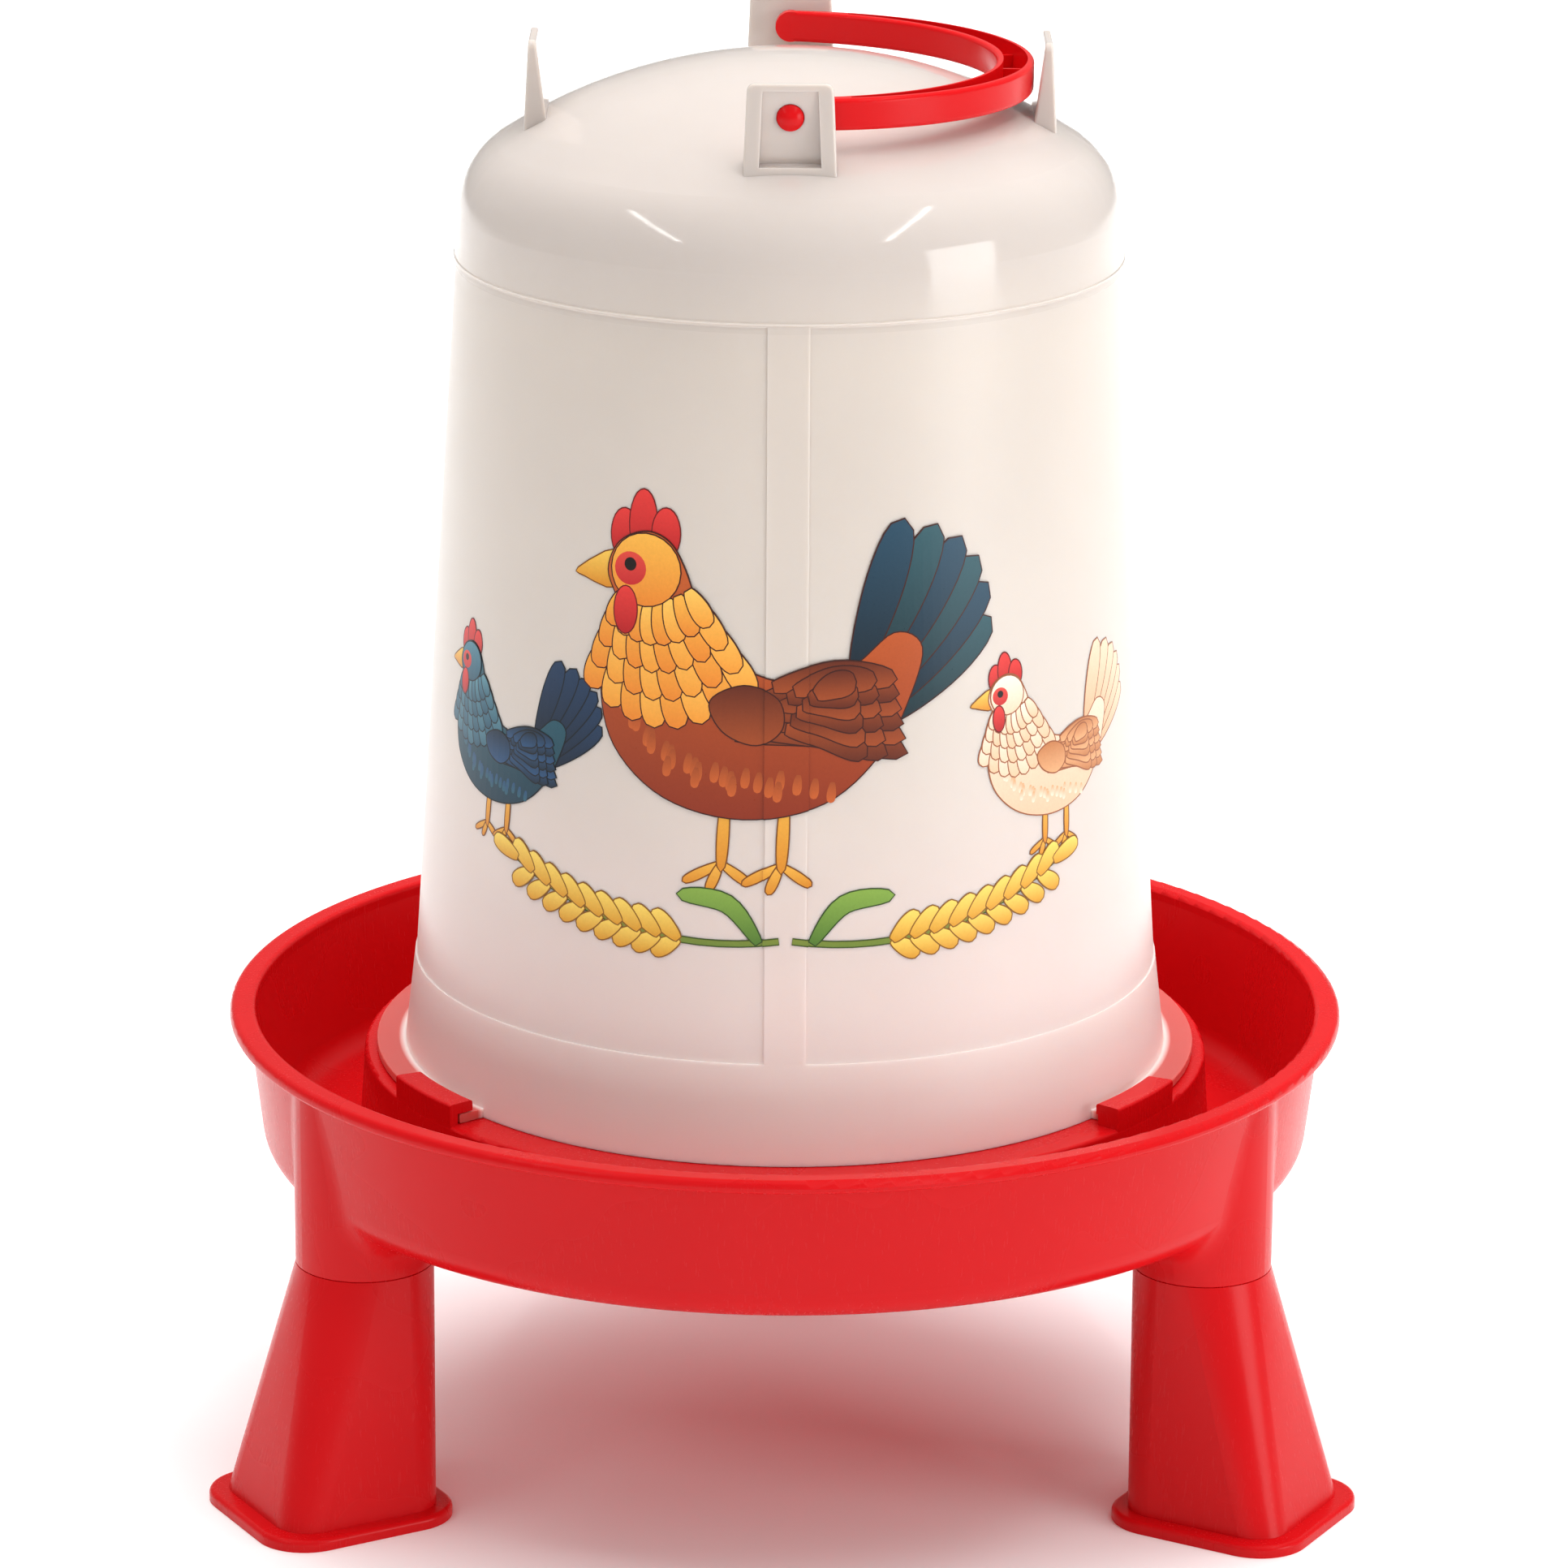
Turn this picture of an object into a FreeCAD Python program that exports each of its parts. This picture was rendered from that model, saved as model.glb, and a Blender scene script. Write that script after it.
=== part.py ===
"""Poultry waterer fount: a gravity-fed drinker with a bell-shaped tank on a round tray with three legs.

Frame: millimetres, +Z up. The ground is z = 0, the tank's axis is x = y = 0 and the front is -Y.
Angles round the tank are in degrees from the front, anticlockwise seen from above.
"""
import FreeCAD, Part
import math
import os
from FreeCAD import Vector

os.makedirs("parts", exist_ok=True)

AXIS = Vector(0, 0, 1)
ORIGIN = Vector(0, 0, 0)

# ---- tank: heights are above its mouth --------------------------------------------------------
MOUTH_R = 120.2          # outside of the wall at the mouth
BAND_R = 116.6           # outside at the top of the plain lower band
SHOULDER_R = 102.6       # outside at the ring line under the dome
BAND_H = 31.1
SHOULDER_H = 253.5
CROWN_H = 315.5
TANK_WALL = 2.2
DOME_R = 166.0           # spherical radius of the dome
DOME_BLEND_R = 26.0      # rounding between wall and dome
PANEL_DEPTH = 0.45       # the two smooth print panels lie this much below the wall
SEAM_BAND_W = 12.5       # plain upright band between the panels, front and back
RING_LINE_R = 0.45       # fine bead round the shoulder
FLANGE_W = 8.8           # the two bayonet wings stand out this far from the mouth
FLANGE_T = 2.8
WING_SPAN = 78.3         # degrees
WING_EDGE_R = 0.5
OUTLET_R = 4.0           # water outlet, low in the rear wall
OUTLET_H = 7.2

# ---- lugs on the dome: four feet for filling upside down, two of them carry the handle ---------
LUG_ANGLES = (0, 90, 180, 270)
LUG_RISE = 5.8           # lug tops above the crown
LUG_H = 27.8             # nominal height, from the foot sizes to the top sizes
LUG_FOOT_IN_R, LUG_FOOT_OUT_R, LUG_FOOT_W = 73.3, 80.8, 27.8
LUG_TOP_IN_R, LUG_TOP_OUT_R, LUG_TOP_W = 77.0, 79.3, 25.4
LUG_PLATE = 2.2          # plate between the two side ribs
LUG_RIB_W = 4.6
LUG_CORNER_R = 2.6       # at the two ends of the top edge
LUG_EDGE_R = 0.8
LUG_TOP_BAR = 2.2        # over the pocket between the ribs
LUG_SILL = 2.0           # under the pocket
LUG_ROOT = 12.0          # how far the lug runs on into the dome
PIVOT_BELOW_TOP = 10.3
PIN_R = 3.95
PIN_CLEAR = 0.2
PIN_HEAD = 2.6           # the domed pin end stands out of the lug's plate
PIN_DOME_H = 1.8

# ---- handle -----------------------------------------------------------------------------------
STRAP_W = 9.6
STRAP_T = 3.5
GRIP_T = 11.4            # radial thickness at the middle of the grip
GRIP_WALL = 2.0
GRIP_WEB = 2.0
GRIP_SPAN = 76.0         # the channel reaches this far each side of the grip's middle, degrees
GRIP_RIBS = 7
GRIP_RIB_T = 1.2
GRIP_RIB_DROP = 3.6      # rib tops below the channel's edge
HANDLE_CLEAR = 0.35      # to the lugs' inner faces
HANDLE_REST_GAP = 2.2    # over the dome, lying down
EDGE_R = 1.3

# ---- tray -------------------------------------------------------------------------------------
TRAY_DEPTH = 48.7
TRAY_T = 2.4
TROUGH_W = 34.2          # open width between the plateau and the rim
RIM_OVERHANG = 5.7       # the rim's lip stands out past the wall
RIM_T = 4.0
RIM_UNDER_R, RIM_OUTER_R, RIM_INNER_R = 1.3, 2.2, 1.6
WALL_TAPER = 5.3         # the wall's foot is this much further in than its top
WALL_FOOT_ROUND = 11.0
PLATEAU_H = 33.5         # the tank's seat above the tray's underside
PLATEAU_DRAFT = 2.2
PLATEAU_EDGE_R = 1.2
PLATEAU_FOOT_ROUND = 2.5
MOUTH_GAP = 0.2
CENTRING_CLEAR = 0.8
CENTRING_W = 2.2
CENTRING_H = 3.0
CENTRING_EDGE_R = 0.6
HOOK_ANGLES = (57.3, 122.7, 237.3, 302.7)
HOOK_SPAN = 14.4         # degrees
STOP_SPAN = 1.3          # closing wall at one end of two hooks, degrees
STOP_GAP = 0.2           # degrees
HOOK_CLEAR = 0.9         # round the wings
HOOK_CLEAR_UP = 0.4      # over the wings
HOOK_WALL = 2.9
HOOK_PLATE = 3.4
HOOK_REACH = 8.6
HOOK_EDGE_R = 0.8
HOOK_LIP_R = 0.4

# ---- legs -------------------------------------------------------------------------------------
LEG_H = 79.2
LEG_ANGLES = {"leg_front_right": 60, "leg_rear": 180, "leg_front_left": 300}
LEG_INSET = 15.0         # leg socket's axis inside the tray wall's foot
BOSS_R = 21.35
BOSS_DROP = 13.6         # sockets hang this far below the tray
BOSS_BLEND = 12.0        # rounding where a socket meets the wall and the bottom
SOCKET_WALL = 3.15
SPIGOT_CLEAR = 0.2
SPIGOT_H = 11.0
SPIGOT_END_GAP = 0.6
SPIGOT_CHAMFER = 1.0
LEG_WALL = 2.2
FOOT_OUT = 12.9          # the foot's middle stands this far outside the socket's axis
FOOT_HALF_RADIAL = 27.2
FOOT_HALF_WIDE = 27.2
FOOT_CORNER = 11.0
FOOT_FLANGE = 5.0
FOOT_FLANGE_T = 3.8
FOOT_FLANGE_EDGE_R = 1.6
FACET_HALF_ANGLE = 14.0  # half of each flat's width where it meets the round top, degrees
JOINT_LINE = 0.4         # chamfer that shows where a leg meets its socket

OVERCUT = 1.0            # how far a cutting solid runs past the face it cuts

# ---- places that follow from the sizes ---------------------------------------------------------
TRAY_Z = LEG_H + BOSS_DROP
FLOOR_Z = TRAY_Z + TRAY_T
SEAT_Z = TRAY_Z + PLATEAU_H
RIM_Z = TRAY_Z + TRAY_DEPTH
TANK_Z = SEAT_Z + MOUTH_GAP
CROWN_Z = TANK_Z + CROWN_H
LUG_TOP_Z = CROWN_Z + LUG_RISE
PIVOT_Z = LUG_TOP_Z - PIVOT_BELOW_TOP

FLANGE_R = MOUTH_R + FLANGE_W
PLATEAU_R = FLANGE_R + HOOK_CLEAR + HOOK_WALL
PLATEAU_FOOT_R = PLATEAU_R + PLATEAU_DRAFT
WALL_TOP_R = PLATEAU_R + TROUGH_W + TRAY_T
WALL_FOOT_R = WALL_TOP_R - WALL_TAPER
RIM_R = WALL_TOP_R + RIM_OVERHANG
LEG_R = WALL_FOOT_R - LEG_INSET
SPIGOT_R = BOSS_R - SOCKET_WALL - SPIGOT_CLEAR
HOOK_GAP = MOUTH_GAP + FLANGE_T + HOOK_CLEAR_UP
WING_STARTS = [a - HOOK_SPAN / 2 + STOP_SPAN + STOP_GAP for a in (HOOK_ANGLES[0], HOOK_ANGLES[2])]


# ---- small helpers ----------------------------------------------------------------------------
def turned(shape, angle):
    """A copy of shape, turned anticlockwise about the tank's axis."""
    copy = shape.copy()
    copy.rotate(ORIGIN, AXIS, angle)
    return copy


def rounded_wire(corners):
    """Closed wire in the XZ plane through (r, z, corner radius) points."""
    points = [Vector(r, 0, z) for r, z, _ in corners]
    edges = []
    last = None
    first = None
    for i, (_, _, radius) in enumerate(corners):
        here = points[i]
        to_prev = (points[i - 1] - here).normalize()
        to_next = (points[(i + 1) % len(points)] - here).normalize()
        if radius > 0:
            half = to_prev.getAngle(to_next) / 2
            reach = radius / math.tan(half)
            start, end = here + to_prev * reach, here + to_next * reach
            inward = (to_prev + to_next).normalize()
            middle = here + inward * (radius / math.sin(half) - radius)
        else:
            start = end = here
        if last is not None:
            edges.append(Part.LineSegment(last, start).toShape())
        else:
            first = start
        if radius > 0:
            edges.append(Part.Arc(start, middle, end).toShape())
        last = end
    edges.append(Part.LineSegment(last, first).toShape())
    return Part.Wire(edges)


def revolved(wire, angle=360.0):
    return Part.Face(wire).revolve(ORIGIN, AXIS, angle)


def sector(r_in, r_out, z_low, z_high, start, span, corner=0.0):
    """Part of a ring; start and span are degrees from the front, corner rounds its long edges."""
    wire = rounded_wire([(r_in, z_low, corner), (r_out, z_low, corner),
                         (r_out, z_high, corner), (r_in, z_high, corner)])
    return turned(revolved(wire, span), start - 90.0)


def rounded_square(half_x, half_y, corner, middle_x, z):
    """Wire of four sides and four corner arcs, starting at the +X side."""
    ax, ay = half_x - corner, half_y - corner
    edges = []
    for turn in range(4):
        hx, hy = (ax, ay) if turn % 2 == 0 else (ay, ax)
        out = half_x if turn % 2 == 0 else half_y
        side = [Vector(out, -hy, z), Vector(out, hy, z)]
        diagonal = corner / math.sqrt(2)
        arc_mid = Vector(hx + diagonal, hy + diagonal, z)
        arc_end = Vector(hx, hy + corner, z)
        edges.append(Part.LineSegment(*side).toShape())
        edges.append(Part.Arc(side[1], arc_mid, arc_end).toShape())
        for edge in edges[-2:]:
            edge.rotate(ORIGIN, AXIS, 90.0 * turn)
    wire = Part.Wire(edges)
    wire.translate(Vector(middle_x, 0, 0))
    return wire


def faceted_circle(radius, z):
    """Circle wire split into the same eight pieces as rounded_square."""
    edges = []
    for turn in range(4):
        middle = 90.0 * turn
        for start, end in ((-FACET_HALF_ANGLE, FACET_HALF_ANGLE), (FACET_HALF_ANGLE, 90 - FACET_HALF_ANGLE)):
            stops = [math.radians(middle + a) for a in (start, (start + end) / 2, end)]
            points = [Vector(radius * math.cos(a), radius * math.sin(a), z) for a in stops]
            edges.append(Part.Arc(*points).toShape())
    return Part.Wire(edges)


# ---- tank -------------------------------------------------------------------------------------
def dome_centre_z():
    return CROWN_Z - DOME_R


def dome_z(radius):
    """Height of the dome's outside at a distance from the axis."""
    return dome_centre_z() + math.sqrt(DOME_R ** 2 - radius ** 2)


def tank_body(inset, below=0.0):
    """Solid of the tank's outline, inset by a wall, carried down below the mouth."""
    band_slope = (MOUTH_R - BAND_R) / BAND_H
    mouth = Vector(MOUTH_R - inset + band_slope * below, 0, TANK_Z - below)
    band = Vector(BAND_R - inset, 0, TANK_Z + BAND_H)
    shoulder = Vector(SHOULDER_R - inset, 0, TANK_Z + SHOULDER_H)
    up = (shoulder - band).normalize()
    inward = Vector(-up.z, 0, up.x)
    blend, sphere = DOME_BLEND_R - inset, DOME_R - inset
    centre = Vector(0, 0, dome_centre_z())
    # the blend's centre: on the wall's line moved in, at sphere - blend from the dome's centre
    base = shoulder + inward * blend - centre
    along = -base.dot(up) + math.sqrt(base.dot(up) ** 2 - base.dot(base) + (sphere - blend) ** 2)
    blend_centre = centre + base + up * along
    wall_end = blend_centre - inward * blend
    dome_start = centre + (blend_centre - centre).normalize() * sphere
    halfway = (wall_end + dome_start) * 0.5 - blend_centre
    blend_mid = blend_centre + halfway.normalize() * blend
    dome_angle = math.atan2(dome_start.x, dome_start.z - centre.z) / 2
    dome_mid = centre + Vector(math.sin(dome_angle), 0, math.cos(dome_angle)) * sphere
    crown = centre + AXIS * sphere
    foot = Vector(0, 0, mouth.z)
    edges = [Part.LineSegment(foot, mouth).toShape(), Part.LineSegment(mouth, band).toShape(),
             Part.LineSegment(band, wall_end).toShape(), Part.Arc(wall_end, blend_mid, dome_start).toShape(),
             Part.Arc(dome_start, dome_mid, crown).toShape(), Part.LineSegment(crown, foot).toShape()]
    return revolved(Part.Wire(edges))


def print_panels():
    """What is cut away for the two panels, leaving the upright bands."""
    low, high = TANK_Z + BAND_H, TANK_Z + SHOULDER_H
    ring = revolved(rounded_wire([(BAND_R - PANEL_DEPTH, low, 0), (BAND_R + OVERCUT, low, 0),
                                  (SHOULDER_R + OVERCUT, high, 0), (SHOULDER_R - PANEL_DEPTH, high, 0)]))
    across = 2 * (BAND_R + 2 * OVERCUT)
    bands = Part.makeBox(SEAM_BAND_W, across, high - low + 2 * OVERCUT,
                         Vector(-SEAM_BAND_W / 2, -across / 2, low - OVERCUT))
    return ring.cut(bands)


def lug_size(z):
    """Inner radius, outer radius and width of a lug at a height."""
    t = (LUG_TOP_Z - z) / LUG_H
    return (LUG_TOP_IN_R + (LUG_FOOT_IN_R - LUG_TOP_IN_R) * t,
            LUG_TOP_OUT_R + (LUG_FOOT_OUT_R - LUG_TOP_OUT_R) * t,
            LUG_TOP_W + (LUG_FOOT_W - LUG_TOP_W) * t)


def lug_block(z_low, z_high, inner, outer, side):
    """Tapered block with its faces moved in or out of the lug's own faces."""
    wires = []
    for z in (z_low, z_high):
        r_in, r_out, width = lug_size(z)
        half = width / 2 + side
        corners = [Vector(r_in + inner, -half, z), Vector(r_out + outer, -half, z),
                   Vector(r_out + outer, half, z), Vector(r_in + inner, half, z)]
        wires.append(Part.makePolygon(corners + corners[:1]))
    return Part.makeLoft(wires, True, True)


def is_at_top(edge):
    return edge.BoundBox.ZMin > LUG_TOP_Z - 0.01


def lug(angle):
    """A plate between two side ribs, rounded at its top corners and along its top edge."""
    foot_z = dome_z(LUG_FOOT_OUT_R)
    block = lug_block(foot_z - LUG_ROOT, LUG_TOP_Z, 0, 0, 0)
    ends = [e for e in block.Edges if is_at_top(e) and e.BoundBox.YLength < e.BoundBox.XLength]
    block = block.makeFillet(LUG_CORNER_R, ends)
    long_edges = [e for e in block.Edges if is_at_top(e) and e.BoundBox.YLength > e.BoundBox.XLength]
    block = block.makeFillet(LUG_EDGE_R, long_edges)
    pocket = lug_block(foot_z + LUG_SILL, LUG_TOP_Z - LUG_TOP_BAR, LUG_PLATE, LUG_RIB_W, -LUG_RIB_W)
    return turned(block.cut(pocket), angle - 90.0)


def wing(start):
    return sector(MOUTH_R - TANK_WALL / 2, FLANGE_R, TANK_Z, TANK_Z + FLANGE_T, start, WING_SPAN, WING_EDGE_R)


def make_tank():
    tank = tank_body(0.0).cut(print_panels())
    bead = Part.makeTorus(SHOULDER_R - RING_LINE_R / 2, RING_LINE_R)
    bead.translate(Vector(0, 0, TANK_Z + SHOULDER_H + 2 * RING_LINE_R))
    tank = tank.fuse([bead] + [lug(a) for a in LUG_ANGLES])
    tank = tank.cut(tank_body(TANK_WALL, below=OVERCUT))
    tank = tank.fuse([wing(a) for a in WING_STARTS])
    pin_holes = [Part.makeCylinder(PIN_R + PIN_CLEAR, MOUTH_R, out * bail_radius() + AXIS * PIVOT_Z, out)
                 for out in (Vector(0, -1, 0), Vector(0, 1, 0))]
    outlet = Part.makeCylinder(OUTLET_R, MOUTH_R, Vector(0, MOUTH_R / 2, TANK_Z + OUTLET_H), Vector(0, 1, 0))
    return tank.cut(pin_holes + [outlet]).removeSplitter()


# ---- handle -----------------------------------------------------------------------------------
def bail_radius():
    """Outer radius: just inside the lugs at the height of the strap's lower edge."""
    return lug_size(PIVOT_Z - STRAP_W)[0] - HANDLE_CLEAR


def handle_droop():
    """How far the lying handle slopes down, so that the grip just clears the dome; degrees."""
    grip_inner = bail_radius() - GRIP_T
    fall = PIVOT_Z - STRAP_W / 2 - HANDLE_REST_GAP - dome_z(grip_inner)
    return math.degrees(math.asin(fall / grip_inner))


def inner_arc():
    """Centre and radius of the grip's inner outline, in the handle's own plane."""
    side = bail_radius() - STRAP_T
    reach = bail_radius() - GRIP_T
    centre_x = (reach ** 2 - side ** 2) / (2 * reach)
    return centre_x, reach - centre_x


def disc(radius, centre_x, low, high):
    return Part.makeCylinder(radius, high - low, Vector(centre_x, 0, low))


def handle_pin(side):
    """Arm end and its domed pivot pin."""
    outer = bail_radius()
    out = Vector(0, side, 0)
    boss = Part.makeCylinder(STRAP_W / 2, STRAP_T, out * (outer - STRAP_T), out)
    pin_end = lug_size(PIVOT_Z)[0] + LUG_PLATE + PIN_HEAD
    dome_radius = (PIN_R ** 2 + PIN_DOME_H ** 2) / (2 * PIN_DOME_H)
    pin = Part.makeCylinder(PIN_R, pin_end - outer + STRAP_T / 2, out * (outer - STRAP_T / 2), out)
    ball = Part.makeSphere(dome_radius, out * (pin_end - dome_radius))
    return boss.fuse(pin.common(ball))


def make_handle():
    half = STRAP_W / 2
    outer = bail_radius()
    inner_x, inner_r = inner_arc()
    right_half = Part.makeBox(2 * outer, 4 * outer, STRAP_W, Vector(0, -2 * outer, -half))
    hole = disc(inner_r, inner_x, -half - OVERCUT, half + OVERCUT)
    bail = disc(outer, 0, -half, half).common(right_half).cut(hole)
    long_edges = [e for e in bail.Edges if e.Length > 2 * STRAP_W]
    bail = bail.makeFillet(EDGE_R, long_edges)
    grip_start = outer * math.cos(math.radians(GRIP_SPAN))
    floor = -half + GRIP_WEB
    beyond = Part.makeBox(outer, 2 * outer, STRAP_W, Vector(grip_start, -outer, floor))
    channel = disc(outer - GRIP_WALL, 0, floor, half + OVERCUT).common(beyond)
    channel = channel.cut(disc(inner_r + GRIP_WALL, inner_x, -half, half + 2 * OVERCUT))
    for i in range(GRIP_RIBS):
        angle = (i - (GRIP_RIBS - 1) / 2) * 2 * GRIP_SPAN / (GRIP_RIBS + 1)
        rib = Part.makeBox(outer, GRIP_RIB_T, half - GRIP_RIB_DROP - floor + OVERCUT,
                           Vector(0, -GRIP_RIB_T / 2, floor - OVERCUT))
        channel = channel.cut(turned(rib, angle))
    bail = bail.cut(channel)
    handle = bail.fuse([handle_pin(-1), handle_pin(1)])
    handle.rotate(ORIGIN, Vector(0, 1, 0), handle_droop())
    handle.translate(Vector(0, 0, PIVOT_Z))
    return handle.removeSplitter()


# ---- tray -------------------------------------------------------------------------------------
def leg_socket(angle):
    """Solid post, from the socket's mouth up to the underside of the rim."""
    post = Part.makeCylinder(BOSS_R, RIM_Z - RIM_T - LEG_H, Vector(LEG_R, 0, LEG_H))
    mouth = [e for e in post.Edges if e.BoundBox.ZMax < LEG_H + 0.01]
    return turned(post.makeChamfer(JOINT_LINE, mouth), angle - 90.0)


def tray_outside():
    """The tray as a solid block below the rim, with its leg sockets blended into wall and bottom."""
    lip_z = RIM_Z - RIM_T
    bowl = revolved(rounded_wire([(0, TRAY_Z, 0), (WALL_FOOT_R, TRAY_Z, WALL_FOOT_ROUND),
                                  (WALL_TOP_R, lip_z, 0), (0, lip_z, 0)]))
    block = bowl.fuse([leg_socket(a) for a in LEG_ANGLES.values()]).removeSplitter().Solids[0]
    corners = []
    for edge in block.Edges:
        faces = block.ancestorsOfType(edge, Part.Face)
        on_one_socket = sum(isinstance(f.Surface, Part.Cylinder) for f in faces) == 1
        crosses = TRAY_Z - 0.01 < edge.BoundBox.ZMin < lip_z - 0.01
        if on_one_socket and crosses:
            corners.append(edge)
    return block.makeFillet(BOSS_BLEND, corners)


def rim():
    inner = WALL_TOP_R - TRAY_T
    return revolved(rounded_wire([(inner, RIM_Z - RIM_T, 0), (RIM_R, RIM_Z - RIM_T, RIM_UNDER_R),
                                  (RIM_R, RIM_Z, RIM_OUTER_R), (inner, RIM_Z, RIM_INNER_R)]))


def trough_space():
    """What is cut away above the sheet: the trough, and all above the plateau."""
    wall_end = RIM_Z - RIM_T
    return revolved(rounded_wire([(0, SEAT_Z, 0), (PLATEAU_R, SEAT_Z, PLATEAU_EDGE_R),
                                  (PLATEAU_FOOT_R, FLOOR_Z, PLATEAU_FOOT_ROUND),
                                  (WALL_FOOT_R - TRAY_T, FLOOR_Z, WALL_FOOT_ROUND - TRAY_T),
                                  (WALL_TOP_R - TRAY_T, wall_end, 0), (WALL_TOP_R - TRAY_T, RIM_Z, 0),
                                  (0, RIM_Z, 0)]))


def plateau_hollow():
    """What is cut away below the plateau: its inside, and the blends that reach in under it."""
    foot_r, roof_z = PLATEAU_FOOT_R - TRAY_T, SEAT_Z - TRAY_T
    inside = revolved(rounded_wire([(0, TRAY_Z, 0), (foot_r, TRAY_Z, 0),
                                    (PLATEAU_R - TRAY_T, roof_z, PLATEAU_EDGE_R), (0, roof_z, 0)]))
    below = Part.makeCylinder(foot_r, TRAY_Z - LEG_H + OVERCUT, AXIS * (LEG_H - OVERCUT))
    return [inside, below.cut([leg_socket(a) for a in LEG_ANGLES.values()])]


def socket_bore(angle):
    bore = Part.makeCylinder(SPIGOT_R + SPIGOT_CLEAR, SPIGOT_H + SPIGOT_END_GAP + OVERCUT,
                             Vector(LEG_R, 0, LEG_H - OVERCUT))
    return turned(bore, angle - 90.0)


def hook(middle, with_stop):
    """Bayonet hook over the tank's wings; two of the four have a stop wall."""
    start = middle - HOOK_SPAN / 2
    low, top = SEAT_Z - TRAY_T / 2, SEAT_Z + HOOK_GAP + HOOK_PLATE
    wall_in = PLATEAU_R - HOOK_WALL
    plate_in = PLATEAU_R - HOOK_REACH
    outline = [(wall_in, low, 0), (PLATEAU_R, low, 0),
               (PLATEAU_R, top, HOOK_EDGE_R), (plate_in, top, HOOK_EDGE_R),
               (plate_in, SEAT_Z + HOOK_GAP, HOOK_LIP_R), (wall_in, SEAT_Z + HOOK_GAP, 0)]
    shape = turned(revolved(rounded_wire(outline), HOOK_SPAN), start - 90.0)
    if with_stop:
        shape = shape.fuse(sector(plate_in + HOOK_EDGE_R, PLATEAU_R - HOOK_EDGE_R, low, top - HOOK_EDGE_R,
                                  start, STOP_SPAN))
    return shape


def centring_ring():
    outer = MOUTH_R - TANK_WALL - CENTRING_CLEAR - CENTRING_H * (MOUTH_R - BAND_R) / BAND_H
    low = SEAT_Z - TRAY_T / 2
    return revolved(rounded_wire([(outer - CENTRING_W, low, 0), (outer, low, 0),
                                  (outer, SEAT_Z + CENTRING_H, CENTRING_EDGE_R),
                                  (outer - CENTRING_W, SEAT_Z + CENTRING_H, CENTRING_EDGE_R)]))


def make_tray():
    tray = tray_outside().cut(trough_space()).cut(plateau_hollow())
    hooks = [hook(a, i % 2 == 0) for i, a in enumerate(HOOK_ANGLES)]
    tray = tray.fuse([rim(), centring_ring()] + hooks)
    return tray.cut([socket_bore(a) for a in LEG_ANGLES.values()]).removeSplitter()


# ---- legs -------------------------------------------------------------------------------------
def make_leg(angle):
    """Hollow leg: round at the top, a rounded square at the foot, with a spigot and a foot flange."""
    outside = Part.makeLoft([rounded_square(FOOT_HALF_RADIAL, FOOT_HALF_WIDE, FOOT_CORNER, FOOT_OUT, 0.0),
                             faceted_circle(BOSS_R, LEG_H)], True, True)
    plate = Part.Face(rounded_square(FOOT_HALF_RADIAL + FOOT_FLANGE, FOOT_HALF_WIDE + FOOT_FLANGE,
                                     FOOT_CORNER + FOOT_FLANGE, FOOT_OUT, 0.0)).extrude(AXIS * FOOT_FLANGE_T)
    upper = [e for e in plate.Edges if e.BoundBox.ZMin > FOOT_FLANGE_T - 0.01]
    plate = plate.makeFillet(FOOT_FLANGE_EDGE_R, upper)
    spigot = Part.makeCylinder(SPIGOT_R, SPIGOT_H + LEG_WALL, AXIS * (LEG_H - LEG_WALL))
    tip = [e for e in spigot.Edges if e.BoundBox.ZMin > LEG_H + SPIGOT_H - 0.01]
    spigot = spigot.makeChamfer(SPIGOT_CHAMFER, tip)
    inside = Part.makeLoft([rounded_square(FOOT_HALF_RADIAL - LEG_WALL, FOOT_HALF_WIDE - LEG_WALL,
                                           FOOT_CORNER - LEG_WALL, FOOT_OUT, 0.0),
                            faceted_circle(BOSS_R - LEG_WALL, LEG_H - LEG_WALL)], True, True)
    bore = Part.makeCylinder(SPIGOT_R - LEG_WALL, SPIGOT_H, AXIS * (LEG_H - LEG_WALL))
    leg = outside.fuse([plate, spigot]).cut(inside).cut(bore).removeSplitter()
    leg.translate(Vector(LEG_R, 0, 0))
    return turned(leg, angle - 90.0)


def write(name, shape):
    solids = shape.Solids
    print(name, "solids", len(solids), "valid", shape.isValid(), "volume cm3", round(shape.Volume / 1000, 1),
          "box", [round(v, 1) for v in (shape.BoundBox.XMin, shape.BoundBox.XMax, shape.BoundBox.YMin,
                                        shape.BoundBox.YMax, shape.BoundBox.ZMin, shape.BoundBox.ZMax)])
    (solids[0] if len(solids) == 1 else shape).exportStep("parts/" + name + ".step")


write("tray", make_tray())
for leg_name, leg_angle in LEG_ANGLES.items():
    write(leg_name, make_leg(leg_angle))
write("tank", make_tank())
write("handle", make_handle())
print("seat", SEAT_Z, "rim", RIM_R, RIM_Z, "pivot z", round(PIVOT_Z, 2), "bail radius", round(bail_radius(), 2),
      "droop", round(handle_droop(), 2), "socket radius", round(LEG_R, 2))
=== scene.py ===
"""Looks of a gravity-fed poultry drinker: moulded red tray, legs and handle, and a milky printed tank."""
import math

import bmesh
import bpy
from mathutils import Matrix, Vector
from mathutils.geometry import delaunay_2d_cdt


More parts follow.
